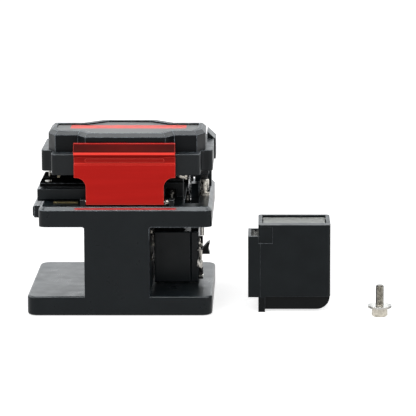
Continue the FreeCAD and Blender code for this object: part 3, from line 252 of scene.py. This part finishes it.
def frame_anodised():
    """The frame's finish: edges scuffed and with painted highlights on the deck, duller below, and a painted
    red reflection of the latch on the deck's front edge under it.
    """
    s = Shader("frame_anodised").set(Specular_IOR_Level=0.15)
    face = s.blend(s.range(s.noise(90, 3), 0, 1), ANODISED_DARK, ANODISED_LIGHT)
    edge = s.edges(0.35 * MM)
    # Edges above this height are brightened, partly scuffs and partly painted highlight; below it they stay
    # dim.
    highlights_above = 29.75
    high = s.range(s.axis("Z"), 0.0, 1.0, highlights_above - 0.25, highlights_above + 0.25)
    scuffed_and_lit_edges = s.math("MULTIPLY", edge, s.range(s.noise(700, 5), 0.2, 1.0))
    scuffed_and_lit_edges = s.math("MULTIPLY", scuffed_and_lit_edges, s.math("ADD", 0.08, s.math("MULTIPLY", high, 0.92)))
    shade = s.blend(scuffed_and_lit_edges, face, (0.50, 0.56, 0.62))
    # Painted reflection: the latch's red on the deck's front edge below it.
    deck_front = span("frame_casting", "Y")[0]
    left, right = span("latch_plate", "X")
    lip = s.range(s.axis("Y"), 1.0, 0.0, deck_front + 0.75, deck_front + 1.05)
    below = s.between(s.axis("X"), left + 0.3, right + 0.1, 0.5)
    top = s.range(s.axis("Z"), 0.0, 0.75, DECK_TOP - 1.05, DECK_TOP - 0.8)
    red_reflection = s.math("MULTIPLY", s.math("MULTIPLY", lip, below), top)
    s.colour(s.blend(red_reflection, shade, (0.47, 0.022, 0.020)))
    dull = s.math("MULTIPLY", s.math("SUBTRACT", 1.0, high), edge)
    satin = s.math("ADD", s.range(s.noise(160, 4), 0.26, 0.36), s.math("MULTIPLY", dull, 0.4))
    s.rough(s.math("ADD", satin, s.math("MULTIPLY", red_reflection, 0.3)))
    return s.bump(s.noise(2600, 3), 0.16, 0.03 * MM, 0.25 * MM).material


def black_moulding(
    name, dark=MOULDING_DARK, light=MOULDING_LIGHT, shine=0.18, scuff_and_highlight_strength=1.0, scuff_and_highlight_colour=(0.30, 0.33, 0.36),
    shaded_below=None, soft=0.45,
):
    """Moulded black covers: a fine spark texture, paler edges that are partly scuffed and partly painted
    highlight and, on one, a foot darkened as painted shade.
    """
    s = Shader(name).set(Specular_IOR_Level=shine)
    face = s.blend(s.range(s.noise(120, 3), 0, 1), dark, light)
    # Paler edges: partly scuffed, partly painted highlight.
    scuffed_and_lit_edges = s.math("MULTIPLY", s.edges(0.3 * MM), s.range(s.noise(900, 5), 0.1 * scuff_and_highlight_strength, scuff_and_highlight_strength))
    if shaded_below:
        # Painted shade: the foot darkens towards the floor.
        foot = s.range(s.axis("Z"), 0.7, 0.0, shaded_below - 0.4, shaded_below)
        face = s.blend(foot, face, (0, 0, 0))
    s.colour(s.blend(scuffed_and_lit_edges, face, scuff_and_highlight_colour))
    s.rough(s.range(s.noise(240, 4), 0.3, 0.44))
    return s.bump(s.noise(4200, 2), 0.12, 0.02 * MM, soft * MM).material


def red_anodised():
    """Red anodised plate: brushed across, with painted highlights at its edges, ridge and lips, and painted
    shade in the finger hollow and the strip below it.
    """
    s = Shader("red_anodised").set(Specular_IOR_Level=0.07)
    brush = s.noise(420, 5, stretch=(0.06, 1, 1))
    face = s.blend(s.range(brush, 0, 1), (0.385, 0.0082, 0.0056), (0.445, 0.0112, 0.0082))
    left, right = span("latch_plate", "X")
    bottom, top = span("latch_plate", "Z")
    high = s.axis("Z")
    # Painted shade: the finger hollow is darkened, most towards its ends.
    hollow = s.between(high, top - 3.25, top - 0.25, 0.12)
    centre = s.between(s.axis("X"), left + 10.7, right - 11.3, 9.0)
    deep = s.blend(centre, (0.045, 0.0030, 0.0022), (0.085, 0.0042, 0.0032))
    shade = s.blend(hollow, face, deep)
    # Painted shade: the strip between the ridge and the lower lip is darkened.
    upper = s.between(high, top - 7.8, top - 4.0, 0.25)
    shade = s.blend(s.math("MULTIPLY", upper, 0.35), shade, (0.16, 0.0045, 0.0035))
    # Painted highlights: a bright line on the ridge and a fainter one on the lower lip.
    ridge = s.math("MULTIPLY", s.between(high, top - 4.1, top - 3.2, 0.15), 0.95)
    lip = s.math("MULTIPLY", s.between(high, top - 8.0, top - 7.6, 0.1), 0.5)
    shade = s.blend(s.math("MAXIMUM", ridge, lip), shade, (0.96, 0.066, 0.048))
    # Painted highlights: the bottom edge and all the plate's edges are brightened.
    foot = s.range(high, 0.8, 0.0, bottom + 0.3, bottom + 0.7)
    bright = s.math("MAXIMUM", s.math("MULTIPLY", s.edges(0.4 * MM), 0.95), foot)
    s.colour(s.blend(bright, shade, (0.92, 0.09, 0.07)))
    s.rough(s.math("ADD", s.range(brush, 0.3, 0.4), s.math("MULTIPLY", hollow, 0.4)))
    return s.bump(s.noise(2400, 3, stretch=(0.08, 1, 1)), 0.12, 0.02 * MM, 0.3 * MM).material


def steel():
    """Machined steel, uneven in tone, with fine upright marks."""
    s = Shader("machined_steel").set(Metallic=1.0)
    s.colour(s.blend(s.range(s.noise(300, 4), 0.2, 0.8), (0.20, 0.19, 0.175), (0.60, 0.58, 0.54)))
    s.rough(s.range(s.noise(900, 5), 0.2, 0.38))
    return s.bump(s.noise(2600, 3, stretch=(1, 1, 0.15)), 0.15, 0.02 * MM, 0.15 * MM).material


def screw_steel():
    """Warm plated steel of the loose screw: threads on its shank and a knurl round its head; the shank is
    much darker than the head and darker still in its thread valleys, as painted shade.
    """
    s = Shader("screw_steel").set(Metallic=1.0)
    (left, right), (front, back) = span("fixing_screw", "X"), span("fixing_screw", "Y")
    washer_top = span("screw_washer", "Z")[1]
    pitch, ribs = 0.5, 36.0
    tall = s.axis("Z")
    on_shank = s.range(tall, 0.0, 1.0, washer_top + 0.1, washer_top + 0.3)
    head = s.blend(s.range(s.noise(500, 4), 0, 1), (0.26, 0.24, 0.20), (0.60, 0.565, 0.49))
    # Painted shade: the shank is much darker than the head.
    shank = s.blend(s.range(s.noise(700, 4), 0, 1), (0.018, 0.016, 0.013), (0.085, 0.08, 0.067))
    # Painted shade: the thread valleys are darker still.
    turns = s.math("SINE", s.math("MULTIPLY", tall, 2 * math.pi / pitch))
    valley_shade = s.math("MULTIPLY", on_shank, s.range(turns, 0.75, 0.0, -1.0, 0.4))
    s.colour(s.blend(valley_shade, s.blend(on_shank, head, shank), (0.07, 0.062, 0.052)))
    s.rough(s.range(s.noise(900, 5), 0.14, 0.28))
    across = s.math("SUBTRACT", s.axis("X"), (left + right) / 2)
    along = s.math("SUBTRACT", s.axis("Y"), (front + back) / 2)
    knurl = s.math("SINE", s.math("MULTIPLY", s.math("ARCTAN2", along, across), ribs))
    on_head = s.math("SUBTRACT", 1.0, on_shank)
    knurled = s.math("MULTIPLY", on_head, s.math("MULTIPLY", knurl, 0.3))
    threaded = s.math("MULTIPLY", on_shank, turns)
    return s.bump(s.math("ADD", knurled, threaded), 0.7, 0.12 * MM).material


def washer_steel():
    """Bright plated washer with a fine grain and dark spots towards its left and right ends, as painted
    shade.
    """
    s = Shader("washer_steel").set(Metallic=1.0)
    left, right = span("screw_washer", "X")
    out = s.math("ABSOLUTE", s.math("SUBTRACT", s.axis("X"), (left + right) / 2))
    # Painted shade: dark spots towards the left and right ends.
    end_shade_mask = s.range(out, 0.0, 0.75, 2.4, 3.7)
    end_shade_flecks = s.math("MULTIPLY", end_shade_mask, s.range(s.noise(800, 4, 0.7), 0.3, 1.0, 0.44, 0.56))
    s.colour(s.blend(end_shade_flecks, (0.42, 0.41, 0.385), (0.03, 0.028, 0.025)))
    s.rough(s.range(s.noise(900, 5), 0.2, 0.32))
    return s.bump(s.noise(2600, 3), 0.1, 0.02 * MM, 0.1 * MM).material


def dark_steel(name, rubbed_from, rubbed_to):
    """Blackened, oily steel with bright scuffed patches where a noise lies between two values."""
    s = Shader(name).set(Metallic=0.85)
    patches = s.range(s.noise(520, 6, 0.7), 0, 1, rubbed_from, rubbed_to)
    s.colour(s.blend(patches, (0.022, 0.021, 0.02), (0.62, 0.585, 0.52)))
    s.rough(s.range(s.noise(900, 5), 0.24, 0.45))
    return s.bump(s.noise(1500, 4), 0.3, 0.04 * MM, 0.15 * MM).material


def highlight_banded_steel():
    """Blackened screw heads, each with one painted highlight, a bright band below its middle."""
    s = Shader("highlight_banded_steel").set(Metallic=0.9)
    bottom, top = span("side_screws", "Z")
    head, drop = 4.6, 0.8
    highlight_distances = [
        s.math("ABSOLUTE", s.math("SUBTRACT", s.axis("Z"), middle - drop))
        for middle in (top - head / 2, bottom + head / 2)
    ]
    near = s.math("MINIMUM", *highlight_distances)
    # Painted highlight: one bright band across each head.
    band = s.range(near, 1.0, 0.0, 0.42, 0.62)
    s.colour(s.blend(band, (0.012, 0.012, 0.012), (0.92, 0.90, 0.82)))
    s.rough(s.range(s.noise(900, 5), 0.16, 0.34))
    return s.bump(s.noise(1500, 4), 0.2, 0.03 * MM, 0.15 * MM).material


def blade_steel():
    """Ground blade steel with circular grinding marks about the blade's axis."""
    s = Shader("blade_steel").set(Metallic=1.0)
    low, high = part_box("blade_wheel")
    centre = [(start + end) / 2 for start, end in zip(low, high)]
    mapping = s.tree.nodes.new("ShaderNodeMapping")
    mapping.inputs["Location"].default_value = (0, -centre[1], -centre[2])
    s.link(s.place, mapping.inputs["Vector"])
    wave = s.tree.nodes.new("ShaderNodeTexWave")
    wave.wave_type = "RINGS"
    wave.rings_direction = "X"
    wave.inputs["Scale"].default_value = 1400
    wave.inputs["Distortion"].default_value = 1.5
    s.link(mapping.outputs[0], wave.inputs["Vector"])
    s.colour(s.blend(s.range(wave.outputs[0], 0, 1, 0, 1), (0.52, 0.52, 0.53), (0.72, 0.72, 0.73)))
    s.rough(s.range(s.noise(600, 4), 0.16, 0.3))
    return s.bump(wave.outputs[0], 0.1, 0.02 * MM).material


def rubber():
    """Matt black rubber with a pebbled face."""
    s = Shader("rubber").set(Specular_IOR_Level=0.3)
    s.colour(s.blend(s.range(s.noise(500, 4), 0, 1), (0.012, 0.012, 0.012), (0.028, 0.027, 0.026)))
    s.rough(s.range(s.noise(900, 4), 0.6, 0.8))
    return s.bump(s.noise(3200, 3), 0.4, 0.05 * MM, 0.15 * MM).material


def label_metal():
    """Bare label: dark brushed silver with a plain red band across it."""
    s = Shader("label_metal").set(Specular_IOR_Level=0.08)
    brush = s.noise(500, 5, stretch=(0.05, 1, 1))
    ground = s.blend(s.range(brush, 0, 1), (0.058, 0.058, 0.057), (0.092, 0.092, 0.09))
    left, right = span("label_plate", "X")
    front = span("label_plate", "Y")[0]
    long = s.between(s.axis("X"), left + 5.25, right - 4.75, 0.1)
    deep = s.between(s.axis("Y"), front + 14.35, front + 22.35, 0.1)
    band = s.math("MULTIPLY", long, deep)
    red = s.blend(s.range(s.noise(260, 4), 0, 1), (0.60, 0.05, 0.032), (0.70, 0.075, 0.052))
    s.colour(s.blend(band, ground, red))
    s.rough(s.range(brush, 0.34, 0.48))
    return s.bump(s.math("ADD", brush, s.math("MULTIPLY", band, 0.6)), 0.08, 0.02 * MM).material


def ceramic():
    """Cream zirconia, smooth and close in tone."""
    s = Shader("ceramic").set(Specular_IOR_Level=0.5)
    s.colour(s.blend(s.range(s.noise(400, 3), 0, 1), (0.62, 0.54, 0.38), (0.78, 0.70, 0.52)))
    s.rough(s.range(s.noise(700, 3), 0.25, 0.38))
    return s.bump(s.noise(1500, 3), 0.08, 0.02 * MM, 0.1 * MM).material


def grey_panel():
    """Pale grey moulded panel of the scrap box."""
    s = Shader("grey_panel").set(Specular_IOR_Level=0.22)
    s.colour(s.blend(s.range(s.noise(180, 4), 0, 1), (0.085, 0.087, 0.078), (0.12, 0.122, 0.11)))
    s.rough(s.range(s.noise(420, 4), 0.38, 0.5))
    return s.bump(s.noise(3600, 3), 0.2, 0.03 * MM, 0.2 * MM).material


def dull_brass():
    """Aged brass, brown in patches."""
    s = Shader("dull_brass").set(Metallic=0.8)
    tone = s.range(s.noise(700, 5, 0.7), 0, 1)
    s.colour(s.blend(tone, (0.035, 0.028, 0.012), (0.26, 0.215, 0.10)))
    s.rough(s.range(s.noise(500, 4), 0.35, 0.6))
    return s.bump(s.noise(1800, 4), 0.3, 0.03 * MM, 0.08 * MM).material


def bristle():
    """Grey and white nylon bristles, each a little different."""
    s = Shader("bristle").set(Specular_IOR_Level=0.3)
    tone = s.range(s.noise(1600, 4, 0.8), 0, 1, 0.42, 0.58)
    s.colour(s.blend(tone, (0.012, 0.013, 0.013), (0.62, 0.62, 0.60)))
    s.rough(s.range(s.noise(900, 3), 0.4, 0.6))
    return s.bump(s.noise(2600, 3), 0.2, 0.03 * MM).material


MATERIALS = {
    "black_anodised": black_anodised(),
    "black_moulding": black_moulding("black_moulding"),
    "red_anodised": red_anodised(),
    "steel": steel(),
    "blade_steel": blade_steel(),
    "rubber": rubber(),
    "label_metal": label_metal(),
    "ceramic": ceramic(),
    "grey_panel": grey_panel(),
}


DARK_STEEL = dark_steel("dark_steel", 0.5, 0.64)
RUBBED_STEEL = dark_steel("rubbed_steel", 0.4, 0.56)
BOX_FOOT = 5.7  # the scrap box's rounded foot, darkened as painted shade, reaches this height
NODE_MATERIALS = {
    "frame_casting": frame_anodised(),
    # The cover's edges carry bluish-white painted highlights.
    "lid_cover": black_moulding(
        "cover_moulding", (0.0012, 0.0018, 0.0024), (0.0024, 0.0032, 0.0040), 0.12, scuff_and_highlight_colour=(0.62, 0.70, 0.78)
    ),
    "box_shell": black_moulding(
        "box_moulding", (0.0036, 0.0052, 0.0062), (0.0064, 0.0084, 0.0096), 0.12,
        scuff_and_highlight_strength=0.3, shaded_below=BOX_FOOT,
    ),
    # The side rail's edges carry bright bluish painted highlights.
    "side_rail": black_anodised("rail_anodised", scuff_and_highlight_strength=1.0, scuff_and_highlight_colour=(0.55, 0.60, 0.66)),
    "lid_housing": black_moulding("housing_moulding", soft=0.9),
    # The fibre holder plate takes a darker, duller copy of the moulding as painted shade under the housing.
    "fibre_holder_plate": black_moulding(
        "plate_moulding_shaded", (0.002, 0.0022, 0.0022), (0.005, 0.005, 0.005), shine=0.0
    ),
    # The latch bracket takes a darker copy as painted shade, with dim edges.
    "latch_bracket": black_anodised("bracket_anodised_shaded", tone=0.3, scuff_and_highlight_strength=0.1),
    "fixing_screw": screw_steel(),
    "screw_washer": washer_steel(),
    "side_screws": highlight_banded_steel(),
}
DARK_NODES = ("box_lid_pin", "latch_pin", "latch_spring", "guide_rail", "rail_screws", "clamp_height_screw")
RUBBED_NODES = ("left_upper_clamp", "right_lower_clamp")
NODE_MATERIALS.update({name: DARK_STEEL for name in DARK_NODES})
NODE_MATERIALS.update({name: RUBBED_STEEL for name in RUBBED_NODES})


def dress_nodes():
    """Each CAD node takes the material of its record slot, or one of its own where it differs."""
    for entry in frame["record"]["subparts"]:
        name = entry["node"]
        mesh = nodes[name].data
        mesh.materials.clear()
        mesh.materials.append(NODE_MATERIALS.get(name, MATERIALS[entry["material_slot"]]))


dress_nodes()


# ---------------------------------------------------------------- fine pieces


def make_piece(name, mesh_code, material, body):
    """An object from a bmesh, with a material, riding on a CAD body."""
    mesh = bpy.data.meshes.new(name)
    mesh_code.normal_update()
    mesh_code.to_mesh(mesh)
    mesh_code.free()
    mesh.materials.append(material)
    piece = bpy.data.objects.new(name, mesh)
    bpy.context.scene.collection.objects.link(piece)
    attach(piece, body)


def add_plate(mesh_code, outline, front, back):
    """Adds a flat outline in X and Z, in millimetres, with depth along Y."""
    corners = [mesh_code.verts.new((x * MM, front * MM, z * MM)) for x, z in outline]
    face = mesh_code.faces.new(corners)
    grown = bmesh.ops.extrude_face_region(mesh_code, geom=[face])
    moved = [part for part in grown["geom"] if isinstance(part, bmesh.types.BMVert)]
    bmesh.ops.translate(mesh_code, verts=moved, vec=(0, (back - front) * MM, 0))
    bmesh.ops.recalc_face_normals(mesh_code, faces=mesh_code.faces)


def oblong(left, bottom, right, top):
    """The outline of a plain strip or foot."""
    return [(left, bottom), (right, bottom), (right, top), (left, top)]


def soften(mesh_code, radius):
    """Rounds every edge of a bmesh a little."""
    bmesh.ops.bevel(mesh_code, geom=list(mesh_code.edges), offset=radius * MM, segments=2, affect="EDGES")


def make_return_link():
    """The forked silver link in front of the pawl, on the blade plate's edge."""
    mesh_code = bmesh.new()
    stem = [
        (28.95, 21.6), (31.0, 21.6), (30.9, 20.4), (30.62, 17.2), (31.0, 17.6), (31.0, 15.0),
        (30.5, 14.3), (29.6, 14.9), (29.15, 16.3), (28.95, 14.9), (28.8, 15.2), (28.95, 17.6),
        (29.25, 18.0), (29.6, 17.0), (30.15, 16.2), (30.35, 17.4), (30.1, 21.3),
        (28.95, 21.3),
    ]
    plate_front = span("blade_plate", "Y")[0]
    link_back = plate_front - 1.85
    add_plate(mesh_code, stem, link_back - 0.6, link_back)
    add_plate(mesh_code, oblong(28.95, 21.3, 29.3, 21.6), link_back, plate_front - 0.03)
    soften(mesh_code, 0.07)
    make_piece("return_link", mesh_code, MATERIALS["steel"], "carriage")


def make_spring_clip():
    """The bent clip under the lid, in front of the left clamp."""
    mesh_code = bmesh.new()
    left, right, front = 20.9, 25.2, -12.4
    top = span("lid_housing", "Z")[0]
    clip = [
        (left, 50.7), (21.6, 49.9), (23.4, 49.4), (24.3, 49.3), (24.5, 49.0), (right, 49.0), (right, top),
        (24.3, top), (24.2, 50.3), (23.2, 50.6), (22.2, 51.6), (21.7, top), (left, top),
    ]
    add_plate(mesh_code, clip, front, front + 0.8)
    add_plate(mesh_code, oblong(left, top - 0.8, right, top), front, front + 1.6)
    soften(mesh_code, 0.08)
    make_piece("spring_clip", mesh_code, RUBBED_STEEL, "lid")


def make_brass_comb():
    """The low toothed strip on the deck in front of the fibre holder."""
    mesh_code = bmesh.new()
    tooth, gap, count = 0.42, 0.3, 13
    left, front, back = -25.2, -23.6, -21.0
    right = left + count * (tooth + gap)
    root = DECK_TOP + 0.25
    add_plate(mesh_code, oblong(left, DECK_TOP, right, root), front, back)
    for index in range(count):
        start = left + gap / 2 + index * (tooth + gap)
        tip = root + random.uniform(0.25, 0.4)
        shoulders = [(start + tooth * 0.7, tip), (start + tooth * 0.3, tip)]
        add_plate(mesh_code, [(start, root), (start + tooth, root), *shoulders], front + 0.3, back - 0.3)
    make_piece("brass_comb", mesh_code, dull_brass(), "root")


def add_bristle(mesh_code, root, tip):
    """A square bristle that narrows to its tip, open where it stands in its strip."""
    rings = []
    for (x, y, z), wide in ((root, 0.15), (tip, 0.09)):
        rings.append([
            mesh_code.verts.new(((x + a * wide) * MM, (y + b * wide) * MM, z * MM))
            for a, b in ((-1, -1), (1, -1), (1, 1), (-1, 1))
        ])
    for side in range(4):
        after = (side + 1) % 4
        mesh_code.faces.new((rings[0][side], rings[0][after], rings[1][after], rings[1][side]))
    mesh_code.faces.new(rings[1])


def make_mouth_brush():
    """Short bristles that close the scrap box's mouth, on a thin strip."""
    mesh_code = bmesh.new()
    box_left, box_front = span("box_shell", "X")[0], span("box_shell", "Y")[0]
    left, right = box_left + 1.25, box_left + 4.5
    front, back = box_front + 1.3, box_front + 15.3
    foot, root = 26.4, 26.7
    add_plate(mesh_code, oblong(left, foot, right, root), front, back)
    rows, files = 7, 30
    for row in range(rows):
        for file in range(files):
            x = left + (row + 0.5) * (right - left) / rows + random.uniform(-0.08, 0.08)
            y = front + (file + 0.5) * (back - front) / files + random.uniform(-0.08, 0.08)
            tip = random.uniform(28.3, 29.0)
            sway = (random.uniform(-0.15, 0.15), random.uniform(-0.15, 0.15))
            add_bristle(mesh_code, (x, y, root), (x + sway[0], y + sway[1], tip))
    make_piece("mouth_brush", mesh_code, bristle(), "scrap_box")


random.seed(7)
make_return_link()
make_spring_clip()
make_brass_comb()
make_mouth_brush()


# ---------------------------------------------------------------- floor, light and camera


def make_floor():
    """A pale floor that shows white to the camera and still keeps the object's shadow."""
    mesh = bpy.data.meshes.new("floor")
    size = 3.0
    corners = [(-size, -size, 0), (size, -size, 0), (size, size, 0), (-size, size, 0)]
    mesh.from_pydata(corners, [], [(0, 1, 2, 3)])
    floor = bpy.data.objects.new("floor", mesh)
    bpy.context.scene.collection.objects.link(floor)
    material = bpy.data.materials.new("floor_white")
    material.use_nodes = True
    f = Nodes(material.node_tree)
    surface = f.tree.nodes["Principled BSDF"]
    surface.inputs["Base Color"].default_value = (0.8, 0.8, 0.8, 1)
    surface.inputs["Roughness"].default_value = 0.9
    surface.inputs["Specular IOR Level"].default_value = 0.0
    surface.inputs["Emission Color"].default_value = (*WHITE, 1)
    path = f.tree.nodes.new("ShaderNodeLightPath")
    seen = f.math("MAXIMUM", path.outputs["Is Camera Ray"], path.outputs["Is Glossy Ray"])
    seen = f.math("MAXIMUM", seen, path.outputs["Is Transmission Ray"])
    f.link(f.math("MULTIPLY", seen, FLOOR_GLOW), surface.inputs["Emission Strength"])
    mesh.materials.append(material)


def make_world():
    """White to the camera, softer as a lamp, and with softboxes in what shiny faces reflect."""
    world = bpy.data.worlds.new("studio")
    bpy.context.scene.world = world
    world.use_nodes = True
    w = Nodes(world.node_tree)
    background = w.tree.nodes["Background"]
    coordinates = w.tree.nodes.new("ShaderNodeTexCoord")
    split = w.tree.nodes.new("ShaderNodeSeparateXYZ")
    w.link(coordinates.outputs["Generated"], split.inputs[0])
    across, depth, height = split.outputs

    overhead = w.range(height, 0.0, OVERHEAD_BOX, 0.86, 0.95, smooth=True)
    sides = w.range(w.math("ABSOLUTE", across), 0.0, SIDE_BOXES, 0.5, 0.64, smooth=True)
    sides = w.math("MULTIPLY", sides, w.range(height, 0.0, 1.0, 0.3, 0.5, smooth=True))
    room = w.range(depth, ROOM_FRONT, ROOM_BACK, -0.6, 0.4, smooth=True)
    room = w.math("ADD", room, w.range(depth, 0.0, BACK_BOX, 0.55, 0.85, smooth=True))
    mirrored = w.math("ADD", room, w.math("ADD", overhead, sides))

    path = w.tree.nodes.new("ShaderNodeLightPath")
    seen = w.math("MAXIMUM", path.outputs["Is Camera Ray"], path.outputs["Is Transmission Ray"])
    glossy = path.outputs["Is Glossy Ray"]
    plain = w.math("SUBTRACT", 1.0, w.math("MAXIMUM", seen, glossy))
    strength = w.math("ADD", seen, w.math("MULTIPLY", plain, ROOM_LIGHT))
    strength = w.math("ADD", strength, w.math("MULTIPLY", glossy, mirrored))
    w.link(strength, background.inputs["Strength"])
    w.link(w.blend(glossy, WHITE, SOFTBOX_TINT), background.inputs["Color"])


def add_lamp(name, place, target, size, energy):
    """A rectangular area lamp that faces a target."""
    lamp = bpy.data.lights.new(name, "AREA")
    lamp.shape = "RECTANGLE"
    lamp.size, lamp.size_y = size
    lamp.energy = energy
    holder = bpy.data.objects.new(name, lamp)
    bpy.context.scene.collection.objects.link(holder)
    holder.location = place
    holder.rotation_euler = (Vector(target) - Vector(place)).to_track_quat("-Z", "Y").to_euler()


def make_camera():
    """Straight on from the front and about ten degrees above level."""
    camera = bpy.data.cameras.new("camera")
    camera.sensor_width = SENSOR
    camera.lens = LENS
    camera.shift_x = SHIFT
    camera.clip_start = 0.05
    holder = bpy.data.objects.new("camera", camera)
    bpy.context.scene.collection.objects.link(holder)
    holder.location = CAMERA_PLACE
    holder.rotation_euler = (math.pi / 2 - CAMERA_TILT, 0, 0)
    bpy.context.scene.camera = holder


make_floor()
make_world()
middle = ((cad_box[0][0] + cad_box[1][0]) / 2, 0, 0.035)
add_lamp("key", (-0.35, -0.6, 0.5), middle, (0.5, 0.5), 3.0)
add_lamp("fill", (0.55, -0.55, 0.4), middle, (0.5, 0.4), 1.6)
make_camera()
bpy.context.scene.view_settings.view_transform = "Standard"
